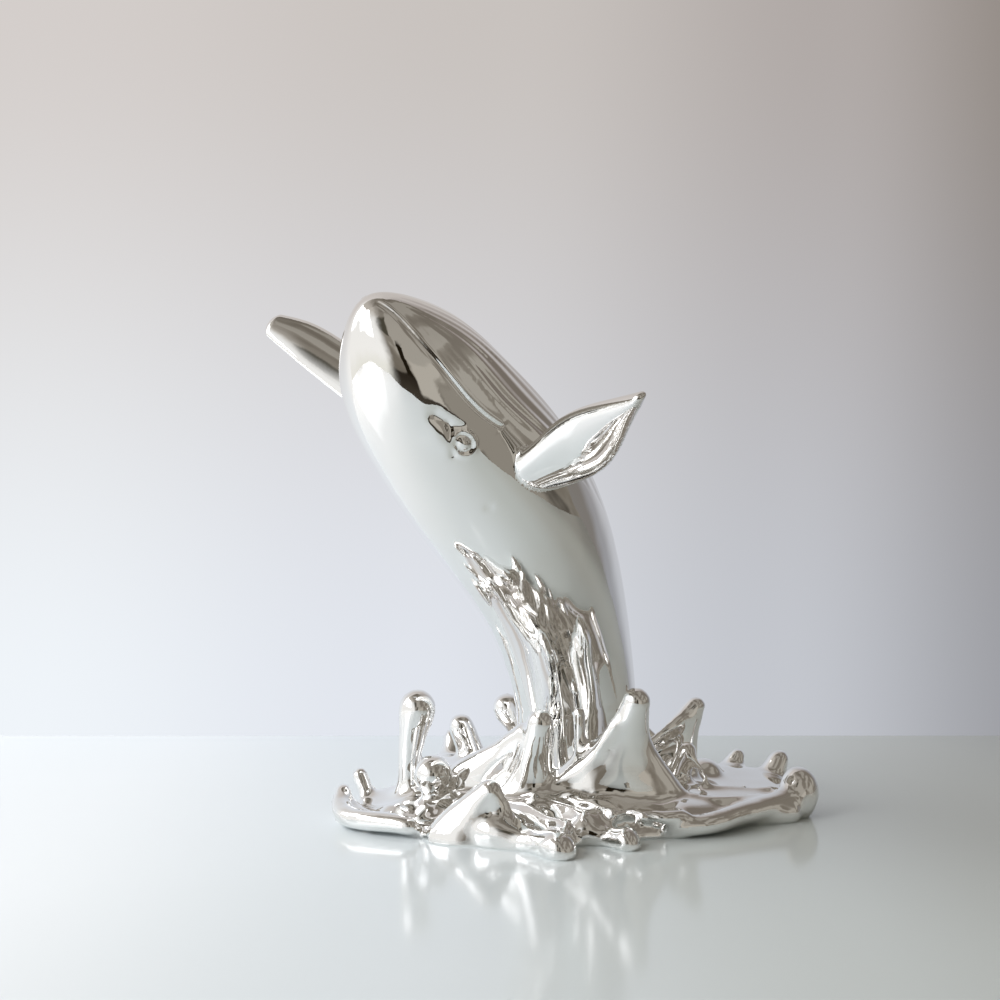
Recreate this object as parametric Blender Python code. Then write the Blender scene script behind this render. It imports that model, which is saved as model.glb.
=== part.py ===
"""A leaping whale on a splash of water, cast in resin as one solid.

Metres, +Z up. The origin is on the flat underside, at the middle of the splash.
The whale leans over the front of the splash (-Y) and to the left (-X).
"""

import math

import bmesh
import bpy
import numpy as np
from mathutils import Vector

# Driving sizes of the whale
CHEST_HALF_WIDTH = 0.0473
FLUKE_STOCK_HALF_WIDTH = 0.0352
SNOUT_BLUNTNESS = 0.0165
BODY_FLATNESS = 0.985
FIN_THICKNESS = 0.0130
FIN_TIP_THICKNESS = 0.0075
FIN_ROOT_DEPTH = 0.0140
FIN_LEADING_FULLNESS = 0.30

# Driving sizes of the splash
SHEET_THICKNESS = 0.0125
MOUND_HEIGHT = 0.0150
MOUND_RADIUS = 0.0560
RIDGE_HEIGHT = 0.0030
UNDERCUT_DEPTH = 0.0100
DROP_SINK = 0.0060
DROP_TAPER = 1.15
ROLL_END = 0.05
RUN_BEND_SHARES = (0.1, 0.5)
RUN_CAP_SHARE = 0.4

# Fineness of the solid
VOXEL = 0.0019
SMOOTH_SHARE = 0.5
SMOOTH_PASSES = 6
KEPT_FACES = 0.0618

# The middle of the body, from the snout to the end that the splash hides
SPINE = (
    (-0.1050, -0.1580, 0.2700),
    (-0.0935, -0.1430, 0.2505),
    (-0.0793, -0.1240, 0.2285),
    (-0.0487, -0.0860, 0.1880),
    (-0.0198, -0.0400, 0.1360),
    (-0.0060, -0.0110, 0.0930),
    (0.0008, 0.0000, 0.0560),
    (0.0010, 0.0030, -0.0060),
)
# Which way the whale's left side faces: snout, chest, stock
SIDE_AT_SNOUT = (0.70, -0.66, -0.24)
SIDE_AT_STOCK = (0.78, -0.62, 0.00)

# Half width of the body as a share of the chest's, at shares of the way along the spine
BODY_SHARES = (
    (0.10, 0.712),
    (0.20, 0.890),
    (0.31, 0.985),
    (0.40, 0.992),
    (0.50, 0.945),
    (0.60, 0.868),
    (0.70, 0.800),
)

# Carving of the head: shares of the way along the spine, and degrees from the side towards the belly
MOUTH_LINE = ((0, 5), (0.025, 1), (0.05, -3), (0.08, -5), (0.11, -6), (0.16, -6), (0.19, -4), (0.215, -1))
MOUTH_FADE = 0.006
MOUTH_DEPTH = 0.0020
MOUTH_WIDTH = 0.0018
LIP_HEIGHT = 0.0014
LIP_WIDTH = 0.0030
EYE_SHARE = 0.193
EYE_TURN = -27
EYE_HEIGHT = 0.0022
EYE_RADIUS = 0.0045
PLEAT_SPACING = 12
PLEAT_DEPTH = 0.0016
PLEAT_EDGE = 12
PLEAT_START = 0.09
PLEAT_END = 0.70
PLEAT_FADE = 0.015
PLEAT_FADE_ANGLE = 2
CARVED_BAND = 0.0040
CARVED_STEPS = 400

# Fins: the leading and the trailing edge, from the root to the tip
LEFT_FIN = (
    ((-0.0507, -0.1200, 0.1920), (-0.0324, -0.1400, 0.1985), (-0.0160, -0.1600, 0.2145),
     (0.0038, -0.1890, 0.2214), (0.0180, -0.2100, 0.2238)),
    ((-0.0386, -0.1270, 0.1763), (-0.0114, -0.1285, 0.1851), (0.0067, -0.1520, 0.1925),
     (0.0140, -0.1850, 0.2085), (0.0178, -0.2050, 0.2190)),
)
RIGHT_FIN = (
    ((-0.0890, -0.0740, 0.2230), (-0.1015, -0.0650, 0.2410), (-0.1250, -0.0560, 0.2595),
     (-0.1450, -0.0520, 0.2710), (-0.1640, -0.0490, 0.2755)),
    ((-0.0885, -0.0860, 0.1930), (-0.1065, -0.0780, 0.2130), (-0.1307, -0.0700, 0.2330),
     (-0.1555, -0.0630, 0.2530), (-0.1705, -0.0570, 0.2660)),
)

# The splash's outline: how far the sheet of water runs out, every 15 degrees from +X
SHEET_REACH = (
    0.131, 0.136, 0.130, 0.119, 0.114, 0.112, 0.115, 0.122,
    0.130, 0.131, 0.114, 0.107, 0.116, 0.134, 0.124, 0.115,
    0.111, 0.108, 0.094, 0.087, 0.090, 0.094, 0.104, 0.123,
)
# Directions in degrees in which low ridges of water run out to the rim
RIDGES = (20, 62, 100, 140, 185, 214, 250, 284, 318, 345)

# Jets of the splash: foot (x, y), top (x, y, z), radius of foot, neck and drop, reach and steepness of the flare,
# and the flare's depth as a share of its width
JETS = {
    "tall_club": ((-0.0975, -0.0230), (-0.0893, -0.0240, 0.0592), 0.0140, 0.0070, 0.0106, 0.26, 2.0, 1.0),
    "bent_club": ((-0.0570, 0.0600), (-0.0672, 0.0580, 0.0350), 0.0210, 0.0066, 0.0078, 0.46, 2.0, 0.8),
    "hidden_club": ((-0.0210, 0.0560), (-0.0390, 0.0540, 0.0470), 0.0150, 0.0062, 0.0090, 0.30, 2.0, 1.0),
    "left_curl": ((-0.1240, -0.0400), (-0.1290, -0.0370, 0.0150), 0.0110, 0.0060, 0.0060, 0.50, 2.0, 1.0),
    "left_bud": ((-0.1150, -0.0170), (-0.1225, -0.0130, 0.0185), 0.0110, 0.0052, 0.0056, 0.45, 2.0, 1.0),
    "front_tooth": ((-0.0600, -0.0800), (-0.0484, -0.0900, 0.0270), 0.0240, 0.0070, 0.0070, 0.66, 2.4, 0.50),
    "body_jet": ((-0.0290, -0.0460), (-0.0215, -0.0560, 0.0560), 0.0300, 0.0078, 0.0078, 0.42, 2.2, 0.35),
    "left_slope": ((-0.0560, -0.0270), (-0.0300, -0.0480, 0.0490), 0.0330, 0.0062, 0.0060, 0.60, 2.6, 0.35),
    "thin_jet": ((0.0010, -0.0500), (-0.0005, -0.0480, 0.0600), 0.0130, 0.0036, 0.0040, 0.30, 2.0, 1.0),
    "great_jet": ((0.0190, -0.0430), (0.0296, -0.0600, 0.0684), 0.0440, 0.0074, 0.0078, 0.60, 3.0, 0.25),
    "right_leaf": ((0.0480, 0.0040), (0.0700, 0.0010, 0.0565), 0.0300, 0.0056, 0.0056, 0.60, 2.2, 0.4),
    "right_drop": ((0.0560, -0.0150), (0.0612, -0.0190, 0.0335), 0.0200, 0.0062, 0.0070, 0.46, 2.4, 0.8),
    "front_crest": ((0.0460, -0.0690), (0.0490, -0.0760, 0.0095), 0.0120, 0.0060, 0.0062, 0.50, 2.0, 1.0),
    "back_bud_near": ((0.1180, 0.0400), (0.1265, 0.0410, 0.0180), 0.0140, 0.0056, 0.0056, 0.60, 2.0, 1.0),
    "back_bud_far": ((0.0960, 0.0600), (0.1040, 0.0590, 0.0160), 0.0130, 0.0050, 0.0048, 0.60, 2.0, 1.0),
    "rear_club": ((0.0240, 0.0800), (0.0280, 0.0860, 0.0470), 0.0180, 0.0062, 0.0090, 0.32, 2.0, 1.0),
    "rear_jet": ((0.0300, 0.0480), (0.0360, 0.0560, 0.0520), 0.0360, 0.0066, 0.0070, 0.54, 2.8, 0.4),
    "rear_drop": ((-0.0180, 0.0860), (-0.0190, 0.0900, 0.0260), 0.0160, 0.0072, 0.0088, 0.40, 2.0, 1.0),
    "rear_tooth": ((-0.0700, 0.0860), (-0.0740, 0.0940, 0.0210), 0.0190, 0.0064, 0.0060, 0.60, 2.4, 0.6),
    "rear_curl": ((-0.0930, 0.0540), (-0.0990, 0.0580, 0.0190), 0.0130, 0.0060, 0.0062, 0.50, 2.0, 1.0),
}
# Drops that sit in the water: middle, half sizes
DROPS = {
    "round_drop": ((-0.0795, -0.0480, 0.0265), (0.0108, 0.0108, 0.0112)),
    "right_bulb": ((0.1225, -0.0300, 0.0125), (0.0116, 0.0116, 0.0150)),
    "back_mound": ((0.0770, 0.0180, 0.0130), (0.0120, 0.0110, 0.0100)),
}
# Runs of water that lie on the table past the sheet: start, end, radius at the start and the end
RUNS = {
    "front_run": ((-0.0560, -0.0840), (-0.0045, -0.1170), 0.0110, 0.0082),
    "short_run": ((-0.0060, -0.0820), (0.0285, -0.1010), 0.0100, 0.0072),
    "right_arm": ((0.0400, -0.0720), (0.1180, -0.0300), 0.0090, 0.0095),
    "left_arm": ((-0.0900, -0.0640), (-0.1270, -0.0340), 0.0085, 0.0072),
    "rear_run": ((0.0500, 0.0900), (0.0680, 0.1120), 0.0100, 0.0075),
}
# Rolls that the water leaves on the rim and down the jets: points along each, and the radius at each point
ROLLS = {
    "left_roll": (
        (
            (-0.1300, -0.0380, 0.0130),
            (-0.1290, -0.0490, 0.0085),
            (-0.1190, -0.0640, 0.0065),
            (-0.1030, -0.0730, 0.0070),
            (-0.0850, -0.0800, 0.0060),
        ),
        (0.0055, 0.0058, 0.0058, 0.0055, 0.0050),
    ),
    "slope_crest": (
        (
            (-0.0209, -0.0480, 0.0540),
            (-0.0311, -0.0420, 0.0450),
            (-0.0432, -0.0340, 0.0340),
            (-0.0544, -0.0270, 0.0255),
            (-0.0660, -0.0220, 0.0170),
        ),
        (0.0050, 0.0056, 0.0052, 0.0048, 0.0030),
    ),
    "great_crease": (
        (
            (0.0210, -0.0600, 0.0610),
            (0.0142, -0.0580, 0.0485),
            (0.0055, -0.0550, 0.0360),
            (-0.0070, -0.0530, 0.0255),
            (-0.0200, -0.0560, 0.0170),
        ),
        (0.0030, 0.0040, 0.0044, 0.0040, 0.0026),
    ),
    "tooth_edge": (
        (
            (-0.0462, -0.0905, 0.0280),
            (-0.0425, -0.0910, 0.0180),
            (-0.0430, -0.0920, 0.0090),
            (-0.0465, -0.0940, 0.0030),
        ),
        (0.0040, 0.0048, 0.0046, 0.0040),
    ),
    "arm_roll": (
        (
            (0.0430, -0.0790, 0.0060),
            (0.0609, -0.0768, 0.0065),
            (0.0848, -0.0600, 0.0080),
            (0.1068, -0.0430, 0.0095),
            (0.1225, -0.0300, 0.0120),
        ),
        (0.0050, 0.0060, 0.0062, 0.0070, 0.0080),
    ),
    "leaf_edge": (
        (
            (0.0330, -0.0120, 0.0300),
            (0.0480, -0.0090, 0.0400),
            (0.0600, -0.0040, 0.0490),
            (0.0690, 0.0000, 0.0560),
        ),
        (0.0036, 0.0042, 0.0040, 0.0034),
    ),
    "rear_crest": (
        (
            (0.0330, 0.0500, 0.0470),
            (0.0460, 0.0520, 0.0320),
            (0.0640, 0.0560, 0.0200),
        ),
        (0.0036, 0.0046, 0.0030),
    ),
}


def spline(places, values, period=None):
    """A smooth function through values at places. Its bend is continuous, so a polished form shows no kink."""
    places = np.asarray(places, float)
    values = np.asarray(values, float).reshape(len(places), -1)
    if period:
        turns = [places + turn * period for turn in (-1, 0, 1)]
        places = np.concatenate(turns)
        values = np.concatenate([values] * 3)
    gap = np.diff(places)
    slope = np.diff(values, axis=0) / gap[:, None]
    system = np.eye(len(places))
    right = np.zeros_like(values)
    for i in range(1, len(places) - 1):
        system[i, i - 1:i + 2] = gap[i - 1], 2 * (gap[i - 1] + gap[i]), gap[i]
        right[i] = 6 * (slope[i] - slope[i - 1])
    bend = np.linalg.solve(system, right)

    def at(place):
        if period:
            place = place % period
        i = int(np.clip(np.searchsorted(places, place) - 1, 0, len(gap) - 1))
        left, far, h = place - places[i], places[i + 1] - place, gap[i]
        value = (bend[i] * far ** 3 + bend[i + 1] * left ** 3) / (6 * h)
        value += (values[i] / h - bend[i] * h / 6) * far
        value += (values[i + 1] / h - bend[i + 1] * h / 6) * left
        return value if len(value) > 1 else float(value[0])

    return at


def line_through(points):
    """A smooth line through points: a function of the share of the way along it."""
    points = np.asarray(points, float)
    steps = np.linalg.norm(np.diff(points, axis=0), axis=1)
    return spline(np.concatenate([[0], np.cumsum(steps)]) / steps.sum(), points)


def heading(line, share, step=0.01):
    """The direction of a line at a share of the way along it."""
    ahead = line(min(share + step, 1)) - line(max(share - step, 0))
    return Vector(ahead).normalized()


def add(form, sphere):
    """Adds a sphere that has its shape to the other forms."""
    bmesh.ops.recalc_face_normals(sphere, faces=sphere.faces)
    mesh = bpy.data.meshes.new("form")
    sphere.to_mesh(mesh)
    sphere.free()
    form.from_mesh(mesh)
    bpy.data.meshes.remove(mesh)


def pulled_sphere(form, columns, rows, place):
    """Adds a sphere pulled into shape: place gives a point for a share from pole to pole and an angle."""
    sphere = bmesh.new()
    bmesh.ops.create_uvsphere(sphere, u_segments=columns, v_segments=rows, radius=1)
    for vertex in sphere.verts:
        share = (1 - vertex.co.z) / 2
        vertex.co = place(min(max(share, 0), 1), math.atan2(vertex.co.y, vertex.co.x))
    add(form, sphere)


def body_line():
    """The whale's spine and its half width squared, as functions of the share of the way from the snout."""
    shares = [(0, 0), (0.025, (2 * SNOUT_BLUNTNESS * 0.025 * 0.32) ** 0.5 / CHEST_HALF_WIDTH)]
    shares += list(BODY_SHARES)
    stock = FLUKE_STOCK_HALF_WIDTH / CHEST_HALF_WIDTH
    shares += [(0.80, stock), (0.90, stock * 1.03), (0.97, stock * 0.9), (1, 0)]
    return line_through(SPINE), spline([s for s, _ in shares], [r * r for _, r in shares])


def body_section(line, share):
    """One cross-section of the body: its middle, its left side, its belly side and its half width."""
    spine, squared = line
    tailward = heading(spine, share)
    left = Vector(SIDE_AT_SNOUT).lerp(Vector(SIDE_AT_STOCK), share)
    left = (left - left.dot(tailward) * tailward).normalized()
    return Vector(spine(share)), left, left.cross(tailward), CHEST_HALF_WIDTH * max(squared(share), 0) ** 0.5


def body_point(line, share, angle):
    """A point of the body's surface, at an angle from the whale's left side towards its belly."""
    middle, left, belly, half_width = body_section(line, share)
    return middle + (left * math.cos(angle) + belly * math.sin(angle) * BODY_FLATNESS) * half_width


def body(form):
    """The whale's body: a round form along the spine, blunt at the snout, its far end inside the splash."""
    line = body_line()
    pulled_sphere(form, 72, 60, lambda share, angle: body_point(line, share, angle))


def relief(share, angle, half_width):
    """How far the lips and throat pleats stand proud of the body at arrays of places, the same on both sides."""
    lateral = np.degrees(np.arcsin(np.sin(angle)))
    mouth = np.interp(share, [place for place, _ in MOUTH_LINE], [turn for _, turn in MOUTH_LINE])
    across = np.radians(lateral - mouth) * half_width
    lip = LIP_HEIGHT * np.exp(-((across - LIP_WIDTH) / LIP_WIDTH) ** 2)
    lip -= MOUTH_DEPTH * np.exp(-(across / MOUTH_WIDTH) ** 2)
    lip /= 1 + np.exp((share - MOUTH_LINE[-1][0]) / MOUTH_FADE)
    bare = np.exp((PLEAT_EDGE - lateral) / PLEAT_FADE_ANGLE)
    bare += np.exp((PLEAT_START - share) / PLEAT_FADE) + np.exp((share - PLEAT_END) / PLEAT_FADE)
    return lip - PLEAT_DEPTH * np.cos(math.pi * (lateral - 90) / PLEAT_SPACING) ** 2 / (1 + bare)


def carve(skin):
    """Carves the lips, pleats and eyes into the body's skin."""
    line = body_line()
    shares = np.linspace(0, 1, CARVED_STEPS)
    sections = [body_section(line, share) for share in shares]
    middles, lefts, bellies = (np.array([section[i] for section in sections]) for i in range(3))
    half_widths = np.array([section[3] for section in sections])
    points = np.array([vertex.co for vertex in skin.verts])
    nearest = np.array([((middles - point) ** 2).sum(axis=1).argmin() for point in points])
    out = points - middles[nearest]
    angle = np.arctan2((out * bellies[nearest]).sum(axis=1), (out * lefts[nearest]).sum(axis=1))
    height = relief(shares[nearest], angle, half_widths[nearest])
    for turn in (EYE_TURN, 180 - EYE_TURN):
        eye = np.array(body_point(line, EYE_SHARE, math.radians(turn)))
        height += EYE_HEIGHT * np.exp(-((points - eye) ** 2).sum(axis=1) / EYE_RADIUS ** 2)
    length = np.linalg.norm(out, axis=1)
    height[(shares[nearest] > PLEAT_END) | (abs(length - half_widths[nearest]) > CARVED_BAND)] = 0
    for vertex, place in zip(skin.verts, points + out * (height / length)[:, None]):
        vertex.co = place


def fin(form, leading, trailing):
    """One flipper: a blade between its leading and its trailing edge, with round edges and a thinner tip."""
    front, rear = line_through(leading), line_through(trailing)

    def place(share, angle):
        along = 1 - (1 - share) ** 1.5
        nose, tail = Vector(front(along)), Vector(rear(along))
        out = (heading(front, along) + heading(rear, along)).normalized()
        face = (nose - tail).cross(out).normalized()
        thick = FIN_THICKNESS + (FIN_TIP_THICKNESS - FIN_THICKNESS) * along
        round_edge = math.copysign(abs(math.sin(angle)) ** 0.75, math.sin(angle))
        round_edge *= 1 + FIN_LEADING_FULLNESS * math.cos(angle)
        middle = (nose + tail) / 2 - out * FIN_ROOT_DEPTH * (1 - along) ** 2
        closed = min(1, share / 0.02, (1 - share) / 0.10) ** 0.5
        return middle + ((nose - tail) * math.cos(angle) + face * thick * round_edge) * closed / 2

    pulled_sphere(form, 48, 48, place)


def sheet(form):
    """The sheet of water: flat below, a round rim, low ridges and a mound round the whale."""
    reach = spline(np.arange(len(SHEET_REACH)) * 360 / len(SHEET_REACH), SHEET_REACH, 360)

    def place(share, angle):
        out = math.sin(math.pi * share) ** 0.55
        rim = reach(math.degrees(angle))
        distance = rim * out
        x, y = distance * math.cos(angle), distance * math.sin(angle)
        if share > 0.5:
            return Vector((x, y, -UNDERCUT_DEPTH * (1 - out ** 8) ** 0.5))
        ridge = sum(
            math.exp(-((math.degrees(angle) - middle + 180) % 360 - 180) ** 2 / 60) for middle in RIDGES
        )
        height = (SHEET_THICKNESS + RIDGE_HEIGHT * ridge * out) * (1 - out ** 8) ** 0.5
        height += MOUND_HEIGHT * math.exp(-(distance / MOUND_RADIUS) ** 2)
        return Vector((x, y, height))

    pulled_sphere(form, 120, 60, place)


def jet(form, foot, top, foot_radius, neck_radius, drop_radius, flare, steepness, depth):
    """One jet of the splash: a stem that flares into the sheet, and a round drop on top."""
    start, end = Vector((*foot, -DROP_SINK)), Vector(top)
    middle = start.lerp(Vector((end.x, end.y, start.z)), 0.35)
    middle.z = (start.z + end.z) / 2
    line = line_through((start, middle, end))
    length = (end - start).length

    def place(share, angle):
        ahead = heading(line, share)
        side = Vector((0, 1, 0)).cross(ahead).normalized()
        flared = (foot_radius - neck_radius) * math.exp(-(share / flare) ** steepness)
        taper = math.exp(-((1 - share) * length / (drop_radius * DROP_TAPER)) ** 2)
        stem = neck_radius + (drop_radius - neck_radius) * taper
        closed = min(1, share / 0.02, (1 - share) / 0.04) ** 0.5
        across = side * math.cos(angle) * (stem + flared)
        through = side.cross(ahead) * math.sin(angle) * (stem + flared * depth)
        return Vector(line(share)) + (across + through) * closed

    pulled_sphere(form, 28, 32, place)
    drop(form, top, (drop_radius,) * 3)


def drop(form, middle, half_sizes):
    """One round drop, half sunk in the water."""
    sphere = bmesh.new()
    bmesh.ops.create_uvsphere(sphere, u_segments=28, v_segments=20, radius=1)
    bmesh.ops.scale(sphere, verts=sphere.verts, vec=half_sizes)
    bmesh.ops.translate(sphere, verts=sphere.verts, vec=middle)
    add(form, sphere)


def run(form, start, end, start_radius, end_radius):
    """A run of water that lies on the table, a half-round finger with a fuller end."""
    start, end = Vector((*start, 0)), Vector((*end, 0))
    length = (end - start).length
    ahead = (end - start).normalized()
    side = Vector((-ahead.y, ahead.x, 0))
    cap = end_radius / length
    radius = spline((0, *RUN_BEND_SHARES, 1 - cap, 1 - cap * RUN_CAP_SHARE, 1), (
        0,
        (start_radius * 0.9) ** 2,
        (end_radius * 0.85) ** 2,
        end_radius ** 2,
        (end_radius * 0.8) ** 2,
        0,
    ))

    def place(share, angle):
        wide = max(radius(share), 0) ** 0.5
        sway = side * math.sin(share * math.pi * 1.5) * length * 0.06
        around = side * math.cos(angle) * 1.15 + Vector((0, 0, 1)) * (math.sin(angle) + 0.55)
        return start + ahead * (length * share) + sway + around * wide

    pulled_sphere(form, 24, 28, place)


def roll(form, points, radii):
    """A tapering bead of water along a line."""
    line = line_through(points)
    radius = spline(np.linspace(0, 1, len(radii)), radii)

    def place(share, angle):
        ahead = heading(line, share)
        side = ahead.cross(Vector((0, 0, 1))).normalized()
        around = side * math.cos(angle) + side.cross(ahead) * math.sin(angle)
        closed = min(1, share / ROLL_END, (1 - share) / ROLL_END) ** 0.5
        return Vector(line(share)) + around * radius(share) * closed

    pulled_sphere(form, 20, 28, place)


def silver_finish():
    """Bright silver plating over the cast resin."""
    finish = bpy.data.materials.new("silver_plating")
    finish.use_nodes = True
    shader = finish.node_tree.nodes["Principled BSDF"]
    shader.inputs["Base Color"].default_value = (0.88, 0.88, 0.87, 1)
    shader.inputs["Metallic"].default_value = 1
    shader.inputs["Roughness"].default_value = 0.06
    return finish


def modified(form, name, settings):
    """The form after one or more modifiers: pairs of a modifier's kind and its settings."""
    mesh = bpy.data.meshes.new(name)
    form.to_mesh(mesh)
    form.free()
    rough = bpy.data.objects.new(name, mesh)
    bpy.context.scene.collection.objects.link(rough)
    for kind, values in settings:
        modifier = rough.modifiers.new(kind.lower(), kind)
        for value_name, value in values.items():
            setattr(modifier, value_name, value)
    bpy.context.view_layer.update()
    result = bmesh.new()
    result.from_object(rough, bpy.context.evaluated_depsgraph_get())
    bpy.data.objects.remove(rough)
    return result


def cut_underside(skin):
    """Cuts the skin at the table and closes it with a flat underside."""
    everything = skin.verts[:] + skin.edges[:] + skin.faces[:]
    below = {"plane_co": (0, 0, 0), "plane_no": (0, 0, -1)}
    bmesh.ops.bisect_plane(skin, geom=everything, dist=1e-6, clear_outer=True, **below)
    rim = [edge for edge in skin.edges if edge.is_boundary]
    bmesh.ops.holes_fill(skin, edges=rim, sides=0)
    bmesh.ops.recalc_face_normals(skin, faces=skin.faces)


def main():
    for old in list(bpy.data.objects):
        bpy.data.objects.remove(old)
    form = bmesh.new()
    body(form)
    fin(form, *LEFT_FIN)
    fin(form, *RIGHT_FIN)
    sheet(form)
    for sizes in JETS.values():
        jet(form, *sizes)
    for sizes in DROPS.values():
        drop(form, *sizes)
    for sizes in RUNS.values():
        run(form, *sizes)
    for points, radii in ROLLS.values():
        roll(form, points, radii)
    skin = modified(form, "forms", (
        ("REMESH", {"mode": "VOXEL", "voxel_size": VOXEL}),
        ("SMOOTH", {"factor": SMOOTH_SHARE, "iterations": SMOOTH_PASSES}),
    ))
    carve(skin)
    skin = modified(skin, "fine_skin", (("DECIMATE", {"ratio": KEPT_FACES}),))
    cut_underside(skin)
    mesh = bpy.data.meshes.new("whale_sculpture")
    skin.to_mesh(mesh)
    skin.free()
    mesh.materials.append(silver_finish())
    mesh.shade_smooth()
    whale = bpy.data.objects.new("whale_sculpture", mesh)
    bpy.context.scene.collection.objects.link(whale)


main()
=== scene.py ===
import math

import bmesh
import bpy
import numpy as np
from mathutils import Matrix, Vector, noise
from mathutils.bvhtree import BVHTree


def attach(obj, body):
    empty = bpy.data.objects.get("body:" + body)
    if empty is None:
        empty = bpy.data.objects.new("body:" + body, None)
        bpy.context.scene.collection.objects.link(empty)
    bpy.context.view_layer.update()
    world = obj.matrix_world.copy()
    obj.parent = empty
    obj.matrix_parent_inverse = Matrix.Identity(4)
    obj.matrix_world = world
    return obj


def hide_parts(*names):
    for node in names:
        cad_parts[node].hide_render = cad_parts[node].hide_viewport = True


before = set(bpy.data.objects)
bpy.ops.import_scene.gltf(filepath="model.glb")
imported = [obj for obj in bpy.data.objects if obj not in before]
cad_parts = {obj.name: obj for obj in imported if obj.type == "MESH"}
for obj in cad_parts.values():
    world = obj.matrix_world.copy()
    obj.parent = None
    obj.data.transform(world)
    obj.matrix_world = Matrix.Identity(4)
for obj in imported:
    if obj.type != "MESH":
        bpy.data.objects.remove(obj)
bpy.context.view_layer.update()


# The whale's body: a full, smooth form that the modeller drew along one bending spine.
# It is cast in resin in one go with everything below, so all forms are gathered in one mesh.
SPINE = (
    (-0.1050, -0.1580, 0.2700),
    (-0.0935, -0.1430, 0.2505),
    (-0.0793, -0.1240, 0.2285),
    (-0.0487, -0.0860, 0.1880),
    (-0.0198, -0.0400, 0.1360),
    (-0.0060, -0.0110, 0.0930),
    (0.0008, 0.0000, 0.0560),
    (0.0010, 0.0030, -0.0060),
)
LEFT_AT_SNOUT = (0.70, -0.66, -0.24)
LEFT_AT_STOCK = (0.78, -0.62, 0.00)
CHEST_HALF_WIDTH = 0.0473
STOCK_SHARE = 0.744
SNOUT_SHARE = 0.34
BODY_FLATNESS = 0.985
BODY_SHARES = (
    (0, 0),
    (0.025, SNOUT_SHARE),
    (0.10, 0.712),
    (0.20, 0.890),
    (0.31, 0.985),
    (0.40, 0.992),
    (0.50, 0.945),
    (0.60, 0.868),
    (0.70, 0.800),
    (0.80, STOCK_SHARE),
    (0.90, STOCK_SHARE * 1.03),
    (0.97, STOCK_SHARE * 0.90),
    (1, 0),
)


def spline(places, values, period=None):
    """A function through values at places whose bend is continuous, so that a mirror finish shows no kink."""
    places = np.asarray(places, float)
    values = np.asarray(values, float).reshape(len(places), -1)
    if period:
        places = np.concatenate([places + turn * period for turn in (-1, 0, 1)])
        values = np.concatenate([values] * 3)
    gap = np.diff(places)
    slope = np.diff(values, axis=0) / gap[:, None]
    system = np.eye(len(places))
    right = np.zeros_like(values)
    for i in range(1, len(places) - 1):
        system[i, i - 1:i + 2] = gap[i - 1], 2 * (gap[i - 1] + gap[i]), gap[i]
        right[i] = 6 * (slope[i] - slope[i - 1])
    bend = np.linalg.solve(system, right)

    def at(place):
        if period:
            place = place % period
        i = int(np.clip(np.searchsorted(places, place) - 1, 0, len(gap) - 1))
        left, far, h = place - places[i], places[i + 1] - place, gap[i]
        value = (bend[i] * far ** 3 + bend[i + 1] * left ** 3) / (6 * h)
        value += (values[i] / h - bend[i] * h / 6) * far
        value += (values[i + 1] / h - bend[i + 1] * h / 6) * left
        return value if len(value) > 1 else float(value[0])

    return at


def line_through(points):
    """A smooth line through points, as a function of the share of the way along it."""
    points = np.asarray(points, float)
    steps = np.linalg.norm(np.diff(points, axis=0), axis=1)
    return spline(np.concatenate([[0], np.cumsum(steps)]) / steps.sum(), points)


def heading(line, share, step=0.01):
    """Which way a line runs at a share of the way along it."""
    return Vector(line(min(share + step, 1)) - line(max(share - step, 0))).normalized()


def add_form(casting, form):
    """Lays a finished form beside the others."""
    bmesh.ops.recalc_face_normals(form, faces=form.faces)
    mesh = bpy.data.meshes.new("form")
    form.to_mesh(mesh)
    form.free()
    casting.from_mesh(mesh)
    bpy.data.meshes.remove(mesh)


def pulled_form(casting, columns, rows, place):
    """A ball of wax pulled into shape: place gives a point for a share from pole to pole and an angle."""
    form = bmesh.new()
    bmesh.ops.create_uvsphere(form, u_segments=columns, v_segments=rows, radius=1)
    for vertex in form.verts:
        share = min(max((1 - vertex.co.z) / 2, 0), 1)
        vertex.co = place(share, math.atan2(vertex.co.y, vertex.co.x))
    surface = BVHTree.FromBMesh(form)
    add_form(casting, form)
    return surface


def rounded(share, first, last):
    """Closes both ends of a form roundly, over the first and the last share of its length."""
    return min(1, share / first, (1 - share) / last) ** 0.5


spine = line_through(SPINE)
squared_width = spline([place for place, _ in BODY_SHARES], [width ** 2 for _, width in BODY_SHARES])


def body_section(share):
    """One slice of the body: its middle, its left side, its belly side and its half width."""
    tailward = heading(spine, share)
    left = Vector(LEFT_AT_SNOUT).lerp(Vector(LEFT_AT_STOCK), share)
    left = (left - left.dot(tailward) * tailward).normalized()
    half_width = CHEST_HALF_WIDTH * max(squared_width(share), 0) ** 0.5
    return Vector(spine(share)), left, left.cross(tailward), half_width


def body_point(share, angle):
    middle, left, belly, half_width = body_section(share)
    return middle + (left * math.cos(angle) + belly * math.sin(angle) * BODY_FLATNESS) * half_width


casting = bmesh.new()
pulled_form(casting, 96, 90, body_point)


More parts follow.
